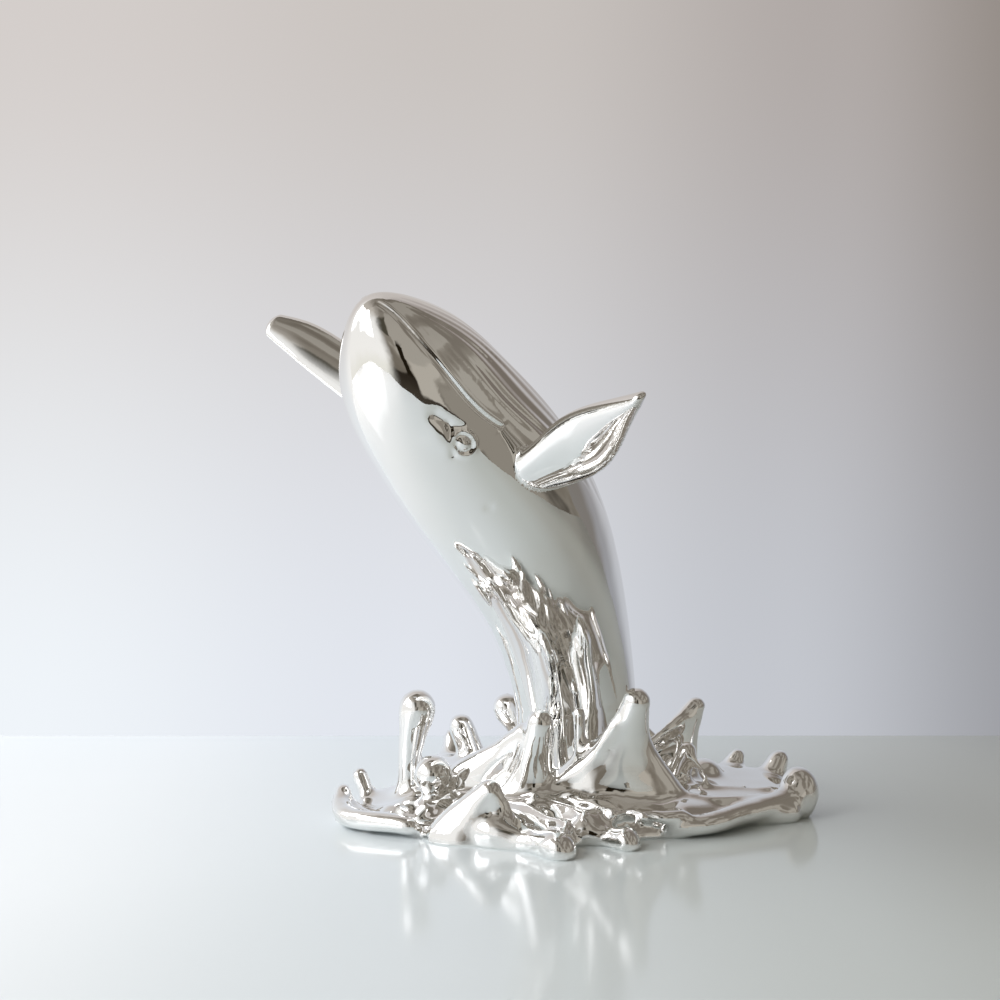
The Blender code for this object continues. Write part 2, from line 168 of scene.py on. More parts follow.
# The two flippers: flat blades with a round leading edge, each modelled on to the chest.
# The left one reaches forward and up beside the head, the right one out behind it.
FIN_THICKNESS = 0.0150
FIN_TIP_THICKNESS = 0.0075
FIN_ROOT_DEPTH = 0.0140
FIN_LEADING_FULLNESS = 0.30
FIN_ENDS = (0.02, 0.10)
FIN_TIP_CROWDING = 1.5
LEFT_FIN = (
    ((-0.0507, -0.1200, 0.1920), (-0.0324, -0.1400, 0.1985), (-0.0160, -0.1600, 0.2145),
     (0.0038, -0.1890, 0.2214), (0.0180, -0.2100, 0.2238)),
    ((-0.0386, -0.1270, 0.1763), (-0.0114, -0.1285, 0.1851), (0.0067, -0.1520, 0.1925),
     (0.0140, -0.1850, 0.2085), (0.0178, -0.2050, 0.2190)),
)
RIGHT_FIN = (
    ((-0.0890, -0.0740, 0.2230), (-0.1015, -0.0650, 0.2410), (-0.1250, -0.0560, 0.2595),
     (-0.1450, -0.0520, 0.2710), (-0.1640, -0.0490, 0.2755)),
    ((-0.0885, -0.0860, 0.1930), (-0.1065, -0.0780, 0.2130), (-0.1307, -0.0700, 0.2330),
     (-0.1555, -0.0630, 0.2530), (-0.1705, -0.0570, 0.2660)),
)


def flipper(casting, leading, trailing):
    front, rear = line_through(leading), line_through(trailing)

    def place(share, angle):
        along = 1 - (1 - share) ** FIN_TIP_CROWDING
        nose, tail = Vector(front(along)), Vector(rear(along))
        out = (heading(front, along) + heading(rear, along)).normalized()
        face = (nose - tail).cross(out).normalized()
        thick = FIN_THICKNESS + (FIN_TIP_THICKNESS - FIN_THICKNESS) * along
        round_edge = math.sin(angle) * (1 + FIN_LEADING_FULLNESS * math.cos(angle))
        middle = (nose + tail) / 2 - out * FIN_ROOT_DEPTH * (1 - along) ** 2
        closed = rounded(share, *FIN_ENDS)
        return middle + ((nose - tail) * math.cos(angle) + face * thick * round_edge) * closed / 2

    return pulled_form(casting, 128, 128, place)


blades = [flipper(casting, *edges) for edges in (LEFT_FIN, RIGHT_FIN)]


# The sheet of water that the whale breaks: flat below, with a rolled rim, a mound round the
# whale and low ridges that run out to the rim. It is the foot that the ornament stands on.
SHEET_THICKNESS = 0.0125
MOUND_HEIGHT = 0.0150
MOUND_RADIUS = 0.0560
RIDGE_HEIGHT = 0.0030
RIDGE_SPREAD = 60
UNDERCUT_DEPTH = 0.0100
RIM_CROWDING = 0.55
RIM_SQUARENESS = 8
SHEET_REACH = (
    0.131, 0.136, 0.130, 0.119, 0.114, 0.112, 0.115, 0.122,
    0.130, 0.131, 0.114, 0.107, 0.116, 0.134, 0.124, 0.115,
    0.111, 0.108, 0.094, 0.087, 0.090, 0.094, 0.104, 0.123,
)
RIDGES = (20, 62, 100, 140, 185, 214, 250, 284, 318, 345)
sheet_reach = spline(np.arange(len(SHEET_REACH)) * 360 / len(SHEET_REACH), SHEET_REACH, 360)


def sheet_height(x, y):
    """How high the sheet's top is above the table, before its rim rounds off."""
    angle, distance = math.degrees(math.atan2(y, x)), math.hypot(x, y)
    turned = [(angle - middle + 180) % 360 - 180 for middle in RIDGES]
    ridge = sum(math.exp(-turn ** 2 / RIDGE_SPREAD) for turn in turned) * distance / sheet_reach(angle)
    return SHEET_THICKNESS + RIDGE_HEIGHT * ridge + MOUND_HEIGHT * math.exp(-(distance / MOUND_RADIUS) ** 2)


def sheet_place(share, angle):
    out = math.sin(math.pi * share) ** RIM_CROWDING
    distance = sheet_reach(math.degrees(angle)) * out
    x, y = distance * math.cos(angle), distance * math.sin(angle)
    round_rim = (1 - out ** RIM_SQUARENESS) ** 0.5
    return Vector((x, y, (-UNDERCUT_DEPTH if share > 0.5 else sheet_height(x, y)) * round_rim))


pulled_form(casting, 180, 90, sheet_place)


# Jets of water thrown up round the whale: stems that flare out of the sheet, each with a
# round drop on top. Foot (x, y), top (x, y, z), radius of foot, neck and drop, reach and
# steepness of the flare, and the flare's depth as a share of its width.
DROP_SINK = 0.0060
DROP_TAPER = 1.15
JET_BEND = 0.35
JET_ENDS = (0.02, 0.04)
JETS = {
    "tall_club": ((-0.0975, -0.0230), (-0.0893, -0.0240, 0.0592), 0.0140, 0.0070, 0.0106, 0.26, 2.0, 1.0),
    "bent_club": ((-0.0570, 0.0600), (-0.0672, 0.0580, 0.0350), 0.0210, 0.0066, 0.0078, 0.46, 2.0, 0.8),
    "hidden_club": ((-0.0210, 0.0560), (-0.0390, 0.0540, 0.0470), 0.0150, 0.0062, 0.0090, 0.30, 2.0, 1.0),
    "left_curl": ((-0.1240, -0.0400), (-0.1290, -0.0370, 0.0150), 0.0110, 0.0060, 0.0060, 0.50, 2.0, 1.0),
    "left_bud": ((-0.1150, -0.0170), (-0.1225, -0.0130, 0.0185), 0.0110, 0.0052, 0.0056, 0.45, 2.0, 1.0),
    "front_tooth": ((-0.0600, -0.0800), (-0.0484, -0.0900, 0.0270), 0.0240, 0.0070, 0.0070, 0.66, 2.4, 0.50),
    "body_jet": ((-0.0290, -0.0460), (-0.0215, -0.0560, 0.0560), 0.0300, 0.0078, 0.0078, 0.42, 2.2, 0.35),
    "left_slope": ((-0.0560, -0.0270), (-0.0300, -0.0480, 0.0490), 0.0330, 0.0062, 0.0060, 0.60, 2.6, 0.35),
    "thin_jet": ((0.0010, -0.0500), (-0.0005, -0.0480, 0.0600), 0.0130, 0.0036, 0.0040, 0.30, 2.0, 1.0),
    "great_jet": ((0.0190, -0.0430), (0.0296, -0.0600, 0.0684), 0.0440, 0.0074, 0.0078, 0.60, 3.0, 0.25),
    "right_leaf": ((0.0480, 0.0040), (0.0700, 0.0010, 0.0565), 0.0300, 0.0056, 0.0056, 0.60, 2.2, 0.4),
    "right_drop": ((0.0560, -0.0150), (0.0612, -0.0190, 0.0335), 0.0200, 0.0062, 0.0070, 0.46, 2.4, 0.8),
    "front_crest": ((0.0460, -0.0690), (0.0490, -0.0760, 0.0095), 0.0120, 0.0060, 0.0062, 0.50, 2.0, 1.0),
    "back_bud_near": ((0.1180, 0.0400), (0.1265, 0.0410, 0.0180), 0.0140, 0.0056, 0.0056, 0.60, 2.0, 1.0),
    "back_bud_far": ((0.0960, 0.0600), (0.1040, 0.0590, 0.0160), 0.0130, 0.0050, 0.0048, 0.60, 2.0, 1.0),
    "rear_club": ((0.0240, 0.0800), (0.0280, 0.0860, 0.0470), 0.0180, 0.0062, 0.0090, 0.32, 2.0, 1.0),
    "rear_jet": ((0.0300, 0.0480), (0.0360, 0.0560, 0.0520), 0.0360, 0.0066, 0.0070, 0.54, 2.8, 0.4),
    "rear_drop": ((-0.0180, 0.0860), (-0.0190, 0.0900, 0.0260), 0.0160, 0.0072, 0.0088, 0.40, 2.0, 1.0),
    "rear_tooth": ((-0.0700, 0.0860), (-0.0740, 0.0940, 0.0210), 0.0190, 0.0064, 0.0060, 0.60, 2.4, 0.6),
    "rear_curl": ((-0.0930, 0.0540), (-0.0990, 0.0580, 0.0190), 0.0130, 0.0060, 0.0062, 0.50, 2.0, 1.0),
}
DROPS = {
    "round_drop": ((-0.0795, -0.0480, 0.0265), (0.0108, 0.0108, 0.0112)),
    "right_bulb": ((0.1225, -0.0300, 0.0125), (0.0116, 0.0116, 0.0150)),
    "back_mound": ((0.0770, 0.0180, 0.0130), (0.0120, 0.0110, 0.0100)),
}


def drop(casting, middle, half_sizes):
    form = bmesh.new()
    bmesh.ops.create_uvsphere(form, u_segments=36, v_segments=28, radius=1)
    bmesh.ops.scale(form, verts=form.verts, vec=half_sizes)
    bmesh.ops.translate(form, verts=form.verts, vec=middle)
    add_form(casting, form)


def jet(casting, foot, top, foot_radius, neck_radius, drop_radius, flare, steepness, depth):
    start, end = Vector((*foot, -DROP_SINK)), Vector(top)
    middle = start.lerp(Vector((end.x, end.y, start.z)), JET_BEND)
    middle.z = (start.z + end.z) / 2
    line = line_through((start, middle, end))
    length = (end - start).length

    def place(share, angle):
        upward = heading(line, share)
        side = Vector((0, 1, 0)).cross(upward).normalized()
        flared = (foot_radius - neck_radius) * math.exp(-(share / flare) ** steepness)
        stem = neck_radius + (drop_radius - neck_radius) * math.exp(
            -((1 - share) * length / (drop_radius * DROP_TAPER)) ** 2)
        closed = rounded(share, *JET_ENDS)
        across = side * math.cos(angle) * (stem + flared)
        through = side.cross(upward) * math.sin(angle) * (stem + flared * depth)
        return Vector(line(share)) + (across + through) * closed

    pulled_form(casting, 40, 44, place)
    drop(casting, top, (drop_radius,) * 3)


for sizes in JETS.values():
    jet(casting, *sizes)
for sizes in DROPS.values():
    drop(casting, *sizes)


# Runs of water that lie on the table past the sheet, half-round fingers with a fuller end:
# start and end (x, y), and the radius at each.
RUNS = {
    "front_run": ((-0.0560, -0.0840), (-0.0045, -0.1170), 0.0110, 0.0082),
    "short_run": ((-0.0060, -0.0820), (0.0285, -0.1010), 0.0100, 0.0072),
    "right_arm": ((0.0400, -0.0720), (0.1180, -0.0300), 0.0090, 0.0095),
    "left_arm": ((-0.0900, -0.0640), (-0.1270, -0.0340), 0.0085, 0.0072),
    "rear_run": ((0.0500, 0.0900), (0.0680, 0.1120), 0.0100, 0.0075),
}
RUN_SHOULDER, RUN_NECK, RUN_NOSE = 0.90, 0.85, 0.80
RUN_PLACES = (0.1, 0.5)
RUN_CAP_SHARE = 0.4
RUN_SWAY = 0.06
RUN_SWAY_TURN = math.pi * 1.5
RUN_WIDENING = 1.15
RUN_LIFT = 0.55


def run(casting, start, end, start_radius, end_radius):
    start, end = Vector((*start, 0)), Vector((*end, 0))
    length = (end - start).length
    ahead = (end - start).normalized()
    side = Vector((-ahead.y, ahead.x, 0))
    cap = end_radius / length
    radius = spline((0, *RUN_PLACES, 1 - cap, 1 - cap * RUN_CAP_SHARE, 1), (
        0,
        (start_radius * RUN_SHOULDER) ** 2,
        (end_radius * RUN_NECK) ** 2,
        end_radius ** 2,
        (end_radius * RUN_NOSE) ** 2,
        0,
    ))

    def place(share, angle):
        sway = side * math.sin(share * RUN_SWAY_TURN) * length * RUN_SWAY
        around = side * math.cos(angle) * RUN_WIDENING + Vector((0, 0, 1)) * (math.sin(angle) + RUN_LIFT)
        return start + ahead * (length * share) + sway + around * max(radius(share), 0) ** 0.5

    pulled_form(casting, 32, 40, place)


for sizes in RUNS.values():
    run(casting, *sizes)


# Rolls and folds that the running water leaves: on the rim, down the jets and fanned over the
# sheet. Each is a tapering bead along a line. Where a point has no height, it lies on the sheet.
FOLD_STAND = 0.0018
FOLD_END = 0.05
FOLDS = {
    "left_roll": (((-0.1300, -0.0380, 0.0130), (-0.1290, -0.0490, 0.0085), (-0.1190, -0.0640, 0.0065),
                   (-0.1030, -0.0730, 0.0070), (-0.0850, -0.0800, 0.0060)),
                  (0.0055, 0.0058, 0.0058, 0.0055, 0.0050)),
    "slope_crest": (((-0.0209, -0.0480, 0.0540), (-0.0311, -0.0420, 0.0450), (-0.0432, -0.0340, 0.0340),
                     (-0.0544, -0.0270, 0.0255), (-0.0660, -0.0220, 0.0170)),
                    (0.0050, 0.0056, 0.0052, 0.0048, 0.0030)),
    "great_crease": (((0.0210, -0.0600, 0.0610), (0.0142, -0.0580, 0.0485), (0.0055, -0.0550, 0.0360),
                      (-0.0070, -0.0530, 0.0255), (-0.0200, -0.0560, 0.0170)),
                     (0.0030, 0.0040, 0.0044, 0.0040, 0.0026)),
    "tooth_edge": (((-0.0462, -0.0905, 0.0280), (-0.0425, -0.0910, 0.0180), (-0.0430, -0.0920, 0.0090),
                    (-0.0465, -0.0940, 0.0030)), (0.0040, 0.0048, 0.0046, 0.0040)),
    "front_fold": (((-0.0500, -0.0620), (-0.0300, -0.0780), (-0.0060, -0.1060)), (0.0030, 0.0040, 0.0040)),
    "inner_fold": (((-0.0420, -0.0480), (-0.0180, -0.0660), (0.0040, -0.0900)), (0.0026, 0.0034, 0.0030)),
    "long_fold": (((-0.0300, -0.0400), (-0.0040, -0.0620), (0.0180, -0.0900)), (0.0026, 0.0036, 0.0036)),
    "ear_fold": (((0.0020, -0.0640), (0.0200, -0.0790), (0.0320, -0.0960)), (0.0028, 0.0036, 0.0030)),
    "side_fold": (((0.0240, -0.0760), (0.0400, -0.0830), (0.0560, -0.0780)), (0.0026, 0.0036, 0.0028)),
    "sheet_fold": (((0.0560, -0.0500), (0.0780, -0.0480), (0.1020, -0.0380)), (0.0022, 0.0034, 0.0034)),
    "high_fold": (((0.0640, -0.0300), (0.0860, -0.0230), (0.1120, -0.0190)), (0.0022, 0.0032, 0.0024)),
    "club_foot": (((-0.0930, -0.0300), (-0.0830, -0.0340), (-0.0700, -0.0400)), (0.0046, 0.0040, 0.0040)),
    "drip": (((0.0630, -0.0240, 0.0330), (0.0690, -0.0250, 0.0255), (0.0725, -0.0270, 0.0190)),
             (0.0030, 0.0022, 0.0030)),
    "arm_roll": (((0.0430, -0.0790, 0.0060), (0.0609, -0.0768, 0.0065), (0.0848, -0.0600, 0.0080),
                  (0.1068, -0.0430, 0.0095), (0.1225, -0.0300, 0.0120)),
                 (0.0050, 0.0060, 0.0062, 0.0070, 0.0080)),
    "leaf_edge": (((0.0330, -0.0120, 0.0300), (0.0480, -0.0090, 0.0400), (0.0600, -0.0040, 0.0490),
                   (0.0690, 0.0000, 0.0560)), (0.0036, 0.0042, 0.0040, 0.0034)),
    "rear_crest": (((0.0330, 0.0500, 0.0470), (0.0460, 0.0520, 0.0320), (0.0640, 0.0560, 0.0200)),
                   (0.0036, 0.0046, 0.0030)),
    "rear_fold": (((0.0000, 0.0600), (0.0120, 0.0820), (0.0300, 0.1000)), (0.0030, 0.0038, 0.0032)),
    "rear_left_fold": (((-0.0420, 0.0500), (-0.0560, 0.0720), (-0.0660, 0.0880)), (0.0030, 0.0038, 0.0032)),
    "rear_rim_fold": (((-0.0700, 0.0300), (-0.0860, 0.0360), (-0.1000, 0.0460)), (0.0028, 0.0036, 0.0030)),
}


def fold(casting, points, radii):
    seats = []
    for point, radius in zip(points, radii):
        if len(point) < 3:
            point = (*point, sheet_height(*point) + FOLD_STAND - radius)
        seats.append(point)
    line = line_through(seats)
    wide = spline(np.linspace(0, 1, len(radii)), radii)

    def place(share, angle):
        ahead = heading(line, share)
        side = ahead.cross(Vector((0, 0, 1))).normalized()
        around = side * math.cos(angle) + side.cross(ahead) * math.sin(angle)
        closed = rounded(share, FOLD_END, FOLD_END)
        return Vector(line(share)) + around * wide(share) * closed

    pulled_form(casting, 24, 40, place)


for points, radii in FOLDS.values():
    fold(casting, points, radii)


# The casting: the forms run into one skin with soft joins, as they do in the mould. The body
# is then trued to its drawn lines, so that the plating shows no dents, and the thin edges of
# the flippers get more faces.
VOXEL = 0.00215
SMOOTH_PASSES = 5
SMOOTH_SHARE = 0.5
BODY_STEPS = 600
TRUED_WITHIN = 0.0006
TRUED_UP_TO = 0.0028
SNOUT_END = 0.004
STOCK_END = 0.80
FIN_ABOVE = 0.12
FIN_EDGE_BEND = math.radians(14)


def one_skin(casting):
    mesh = bpy.data.meshes.new("forms")
    casting.to_mesh(mesh)
    casting.free()
    rough = bpy.data.objects.new("forms", mesh)
    bpy.context.scene.collection.objects.link(rough)
    fuse = rough.modifiers.new("fuse", "REMESH")
    fuse.mode = "VOXEL"
    fuse.voxel_size = VOXEL
    soften = rough.modifiers.new("soften", "SMOOTH")
    soften.factor = SMOOTH_SHARE
    soften.iterations = SMOOTH_PASSES
    bpy.context.view_layer.update()
    skin = bmesh.new()
    skin.from_object(rough, bpy.context.evaluated_depsgraph_get())
    bpy.data.objects.remove(rough)
    return skin


def cut_underside(skin):
    """Grinds the casting flat at the table."""
    everything = skin.verts[:] + skin.edges[:] + skin.faces[:]
    below = {"plane_co": (0, 0, 0), "plane_no": (0, 0, -1)}
    bmesh.ops.bisect_plane(skin, geom=everything, dist=1e-6, clear_outer=True, **below)
    rim = [edge for edge in skin.edges if edge.is_boundary]
    bmesh.ops.holes_fill(skin, edges=rim, sides=0)
    bmesh.ops.recalc_face_normals(skin, faces=skin.faces)


shares = np.linspace(0, 1, BODY_STEPS)
middles, lefts, bellies, half_widths = (
    np.array(column) for column in zip(*(body_section(share) for share in shares))
)
spine_length = np.linalg.norm(np.diff(middles, axis=0), axis=1).sum()


def body_places(skin):
    """Where the skin lies on the body: share of the spine, angle, half width there, and the way out of it."""
    points = np.array([vertex.co for vertex in skin.verts])
    nearest = np.array([((middles - point) ** 2).sum(axis=1).argmin() for point in points])
    tailward = np.cross(lefts, bellies)[nearest]
    out = points - middles[nearest]
    behind = (out * tailward).sum(axis=1)
    share = np.clip(shares[nearest] - behind / spine_length, 0, 1)
    out -= tailward * behind[:, None]
    angle = np.arctan2((out * bellies[nearest]).sum(axis=1), (out * lefts[nearest]).sum(axis=1))
    return points, share, angle, np.interp(share, shares, half_widths), out


def eased(value):
    """From 0 to 1 with a soft start and end."""
    return value * value * (3 - 2 * value)


def true_body(skin):
    """Brings the skin on to the drawn body, where nothing else joins it. Tells how far each point is held."""
    points, share, angle, half_width, out = body_places(skin)
    reach = np.linalg.norm(out, axis=1)
    off = half_width * np.hypot(np.cos(angle), np.sin(angle) * BODY_FLATNESS) - reach
    hold = np.clip((TRUED_UP_TO - abs(off)) / (TRUED_UP_TO - TRUED_WITHIN), 0, 1)
    hold = eased(hold) * (share < STOCK_END) * (share > SNOUT_END)
    points += out / reach[:, None] * (off * hold)[:, None]
    for vertex, place in zip(skin.verts, points):
        vertex.co = place
    return share, angle, half_width, out / reach[:, None], hold


def closer_mesh(skin, chosen):
    """Gives the skin more faces where its form is fine."""
    corners = {vertex for vertex, wanted in zip(skin.verts, chosen) if wanted}
    edges = [edge for edge in skin.edges if edge.verts[0] in corners and edge.verts[1] in corners]
    bmesh.ops.subdivide_edges(skin, edges=edges, cuts=1, use_grid_fill=True)


def fin_edges(skin):
    """Which points lie by the sharp bends along the flippers' thin edges."""
    skin.normal_update()
    bent = [edge for edge in skin.edges if edge.calc_face_angle(0) > FIN_EDGE_BEND]
    near = {vertex for edge in bent for vertex in edge.verts if vertex.co.z > FIN_ABOVE}
    near |= {edge.other_vert(vertex) for vertex in near for edge in vertex.link_edges}
    return [vertex in near for vertex in skin.verts]


skin = one_skin(casting)
cut_underside(skin)
true_body(skin)
closer_mesh(skin, fin_edges(skin))


# Head and throat, carved before the mould was made: closed lips, lidded eyes under a soft brow,
# and the pleats that run from the chin down the belly. Places are a share and an angle on the body.
MOUTH_LINE = (
    (0, 5), (0.025, 1), (0.05, -3), (0.08, -5), (0.11, -6), (0.16, -6), (0.19, -4), (0.215, -1),
)
MOUTH_FADE = 0.006
MOUTH_DEPTH = 0.0009
MOUTH_WIDTH = 0.0011
LIP_HEIGHT = 0.0005
LIP_WIDTH = 0.0020
CHEEK_DEPTH = 0.0005
CHEEK_WIDTH = 0.0050
EYE = (0.193, -27)
EYE_LENGTH = 0.0066
EYE_WIDTH = 0.0053
BOSS_HEIGHT = 0.0015
LID_HEIGHT = 0.0008
SOCKET_DEPTH = 0.0007
BOSS_REACH, LID_REACH, SOCKET_REACH = 0.48, 0.24, 0.16
SOCKET_FROM_MIDDLE = 0.66
CREASES = (
    ((0.158, -27), (0.199, -37), 0.0009, 0.0014),
    ((0.140, -31), (0.172, -24), 0.0014, 0.0030),
    ((0.294, -40), (0.296, -40), 0.0011, 0.0015),
)
BROW = ((0.168, -40), (0.182, -38), -0.0009, 0.0055)
PLEAT_SPACING = 10
PLEAT_DEPTH = 0.0007
PLEAT_SHARPNESS = 1.1
PLEAT_WANDER = 0.22
PLEAT_WANDER_RATE, PLEAT_WANDER_LAG = 23, 0.9
PLEAT_UNEVENNESS = 0.35
PLEAT_UNEVEN_RATE, PLEAT_UNEVEN_LAG = 31, 2.4
PLEAT_DEEPENING = 0.12
PLEAT_FIRST_DEPTH = 0.35
PLEAT_STARTS = ((0, 0.30), (6, 0.250), (10, 0.110), (18, 0.050), (34, 0.032), (90, 0.030))
PLEAT_ENDS = ((-6, 0.20), (2, 0.24), (10, 0.28), (18, 0.30), (26, 0.40), (34, 0.52), (90, 0.60))
PLEAT_STAGGER = 0.012
PLEAT_FADE = 0.014
THROAT_FROM, THROAT_TO = 0.02, 0.60
THROAT_SIDE = 3
THROAT_AHEAD = 0.02
MOUTH_REACH, MOUTH_PAST = 0.0072, 0.02
LIP_REACH, LIP_PAST = 0.0046, 0.01
EYE_LINE = ((EYE[0] - 0.03, -31), (EYE[0] + 0.02, -27))
EYE_REACH = 0.0105


def from_crease(share, lateral, half_width, start, end):
    """How far points on the body are from a short line drawn on it."""
    along, across = (share - start[0]) * spine_length, np.radians(lateral - start[1]) * half_width
    far_along = (end[0] - start[0]) * spine_length
    far_across = np.radians(end[1] - start[1]) * half_width
    part = np.clip((along * far_along + across * far_across) / (far_along ** 2 + far_across ** 2), 0, 1)
    return np.hypot(along - part * far_along, across - part * far_across)


def hump(distance, width):
    return np.exp(-(distance / width) ** 2)


def step(value, width):
    """From 0 to 1, softly, as the value passes nought."""
    return 1 / (1 + np.exp(-4 * np.clip(value / width, -10, 10)))


mouth_line = spline(*zip(*MOUTH_LINE))


def across_mouth(share, lateral, half_width):
    drawn = np.array([mouth_line(place) for place in shares])
    return np.radians(lateral - np.interp(share, shares, drawn)) * half_width


def relief(share, angle, half_width):
    """How far the carving stands out of the drawn body."""
    lateral = np.degrees(np.arcsin(np.sin(angle)))
    across = across_mouth(share, lateral, half_width)
    lips = LIP_HEIGHT * hump(across - LIP_WIDTH, LIP_WIDTH) - MOUTH_DEPTH * hump(across, MOUTH_WIDTH)
    lips -= CHEEK_DEPTH * hump(across + CHEEK_WIDTH, CHEEK_WIDTH)
    carved = lips * step(MOUTH_LINE[-1][0] - share, MOUTH_FADE)
    from_eye = np.hypot(
        (share - EYE[0]) * spine_length / EYE_LENGTH,
        np.radians(lateral - EYE[1]) * half_width / EYE_WIDTH,
    )
    carved += BOSS_HEIGHT * hump(from_eye, BOSS_REACH) + LID_HEIGHT * hump(from_eye - 1, LID_REACH)
    carved -= SOCKET_DEPTH * hump(from_eye - SOCKET_FROM_MIDDLE, SOCKET_REACH)
    for start, end, depth, width in (*CREASES, BROW):
        carved -= depth * hump(from_crease(share, lateral, half_width, start, end), width)
    number = (90 - lateral) / PLEAT_SPACING
    wander = np.sin(share * PLEAT_WANDER_RATE + number * PLEAT_WANDER_LAG)
    number += PLEAT_WANDER * wander * np.clip(number / 2, 0, 1)
    stagger = PLEAT_STAGGER * np.where(np.round(number) % 2 > 0, 1, -1)
    begins = np.interp(lateral, *zip(*PLEAT_STARTS)) + stagger
    ends = np.interp(lateral, *zip(*PLEAT_ENDS)) + stagger * 2
    pleats = PLEAT_DEPTH * np.abs(np.cos(math.pi * number)) ** (2 * PLEAT_SHARPNESS)
    uneven = np.sin(share * PLEAT_UNEVEN_RATE + np.round(number) * PLEAT_UNEVEN_LAG)
    pleats *= 1 - PLEAT_UNEVENNESS * (0.5 + 0.5 * uneven)
    pleats *= np.clip((share - begins) / PLEAT_DEEPENING, PLEAT_FIRST_DEPTH, 1)
    return carved - pleats * step(share - begins, PLEAT_FADE) * step(ends - share, PLEAT_FADE * 2)


def on_skin(skin):
    """The places of the skin as the carving needs them, and where it lies on the body alone."""
    share, angle, half_width, _, hold = true_body(skin)
    return share, np.degrees(np.arcsin(np.sin(angle))), half_width, hold > 0


share, lateral, half_width, bare = on_skin(skin)
throat = (lateral > THROAT_SIDE) & (share > THROAT_FROM) & (share < THROAT_TO)
throat &= share > np.interp(lateral, *zip(*PLEAT_STARTS)) - THROAT_AHEAD
mouth = (abs(across_mouth(share, lateral, half_width)) < MOUTH_REACH) & (share < MOUTH_LINE[-1][0] + MOUTH_PAST)
closer_mesh(skin, (throat | mouth) & bare)
share, lateral, half_width, bare = on_skin(skin)
lips = (abs(across_mouth(share, lateral, half_width)) < LIP_REACH) & (share < MOUTH_LINE[-1][0] + LIP_PAST)
eyes = from_crease(share, lateral, half_width, *EYE_LINE) < EYE_REACH
closer_mesh(skin, (lips | eyes) & bare)
share, angle, half_width, outward, hold = true_body(skin)
for vertex, way, height in zip(skin.verts, outward, relief(share, angle, half_width) * hold):
    vertex.co += Vector(way * height)


# The flippers, trued to their drawn blades as the body was, so that their thin edges run clean,
# and rubbed smooth where they grow out of it.
FIN_TRUED_WITHIN = 0.0045
FIN_TRUED_UP_TO = 0.0065
FIN_TRUINGS = 3
FIN_TRUED_ENOUGH = 0.95
FIN_RUB = 0.3
ROOT_RUB = 0.5


def true_fins(skin, hold):
    """Brings the skin back on to the drawn blades, straight out or in. Gives the points that lie on one."""
    skin.normal_update()
    on_blade = []
    for vertex, held in zip(skin.verts, hold):
        if vertex.co.z < FIN_ABOVE or held == 1:
            continue
        ways = (vertex.normal, -vertex.normal)
        rays = [blade.ray_cast(vertex.co, way, FIN_TRUED_UP_TO) for blade in blades for way in ways]
        drawn = [(off, place) for place, _, _, off in rays if place]
        if drawn:
            off, place = min(drawn, key=lambda ray: ray[0])
            reached = min(1, (FIN_TRUED_UP_TO - off) / (FIN_TRUED_UP_TO - FIN_TRUED_WITHIN))
            reached = eased(reached) * (1 - held)
            vertex.co = vertex.co.lerp(place, reached)
            if reached > FIN_TRUED_ENOUGH:
                on_blade.append(vertex)
    return on_blade


def rub(skin, vertices, factor):
    every_way = {"use_axis_x": True, "use_axis_y": True, "use_axis_z": True}
    bmesh.ops.smooth_vert(skin, verts=vertices, factor=factor, **every_way)


for _ in range(FIN_TRUINGS):
    rub(skin, true_fins(skin, hold), FIN_RUB)
true_fins(skin, hold)
roots = [vertex for vertex, held in zip(skin.verts, hold) if 0 < held < 1 and vertex.co.z > FIN_ABOVE]
for _ in range(FIN_TRUINGS):
    rub(skin, roots, ROOT_RUB)


# The water's surface: hollows pressed into the splash, and the slow and quick waves that the
# modeller's tool left in it.
HOLLOWS = (
    ((-0.0785, -0.0680, 0.0100), 0.0100, 0.0055),
    ((-0.0670, -0.0740, 0.0120), 0.0070, 0.0030),
    ((-0.1120, -0.0320, 0.0140), 0.0170, 0.0040),
    ((0.0500, -0.0160, 0.0360), 0.0100, 0.0035),
    ((0.0900, -0.0100, 0.0150), 0.0220, 0.0035),
    ((0.0220, -0.0780, 0.0160), 0.0090, 0.0030),
    ((-0.0160, -0.0860, 0.0140), 0.0080, 0.0030),
    ((-0.0930, 0.0140, 0.0150), 0.0180, 0.0030),
    ((0.0700, 0.0600, 0.0150), 0.0200, 0.0030),
)
WAVES = ((0.0190, 0.0007), (0.0085, 0.00025))
WAVES_ABOVE = 0.0060
WAVES_BELOW = 0.0700
WAVES_FADE = 0.0150

skin.normal_update()
moved = []
for vertex, held in zip(skin.verts, hold):
    point = vertex.co
    depth = sum(
        sunk * math.exp(-((point - Vector(middle)).length / reach) ** 2) for middle, reach, sunk in HOLLOWS)
    height = sum(tall * noise.noise(point / long) for long, tall in WAVES) - depth
    loose = (1 - held) * min(1, point.z / WAVES_ABOVE) * min(1, max(0, (WAVES_BELOW - point.z) / WAVES_FADE))
    moved.append(point + vertex.normal * height * loose)
for vertex, place in zip(skin.verts, moved):
    vertex.co = place
bmesh.ops.recalc_face_normals(skin, faces=skin.faces)


# The plating: a mirror-bright silver skin over the cast resin. It is even to the touch, but it
# lies in slow waves with a fine orange peel, is a little cloudy in places, and warms faintly.
SILVER = (0.91, 0.91, 0.90)
WARM_SILVER = (0.89, 0.88, 0.86)
TINT_SCALE = 14
ROUGHNESS = (0.018, 0.050)
CLOUD_SCALE = 30
SKIN_WAVES = ((55, 0.00022), (650, 0.000004))
PATTERN_SPAN = (0.35, 0.65)

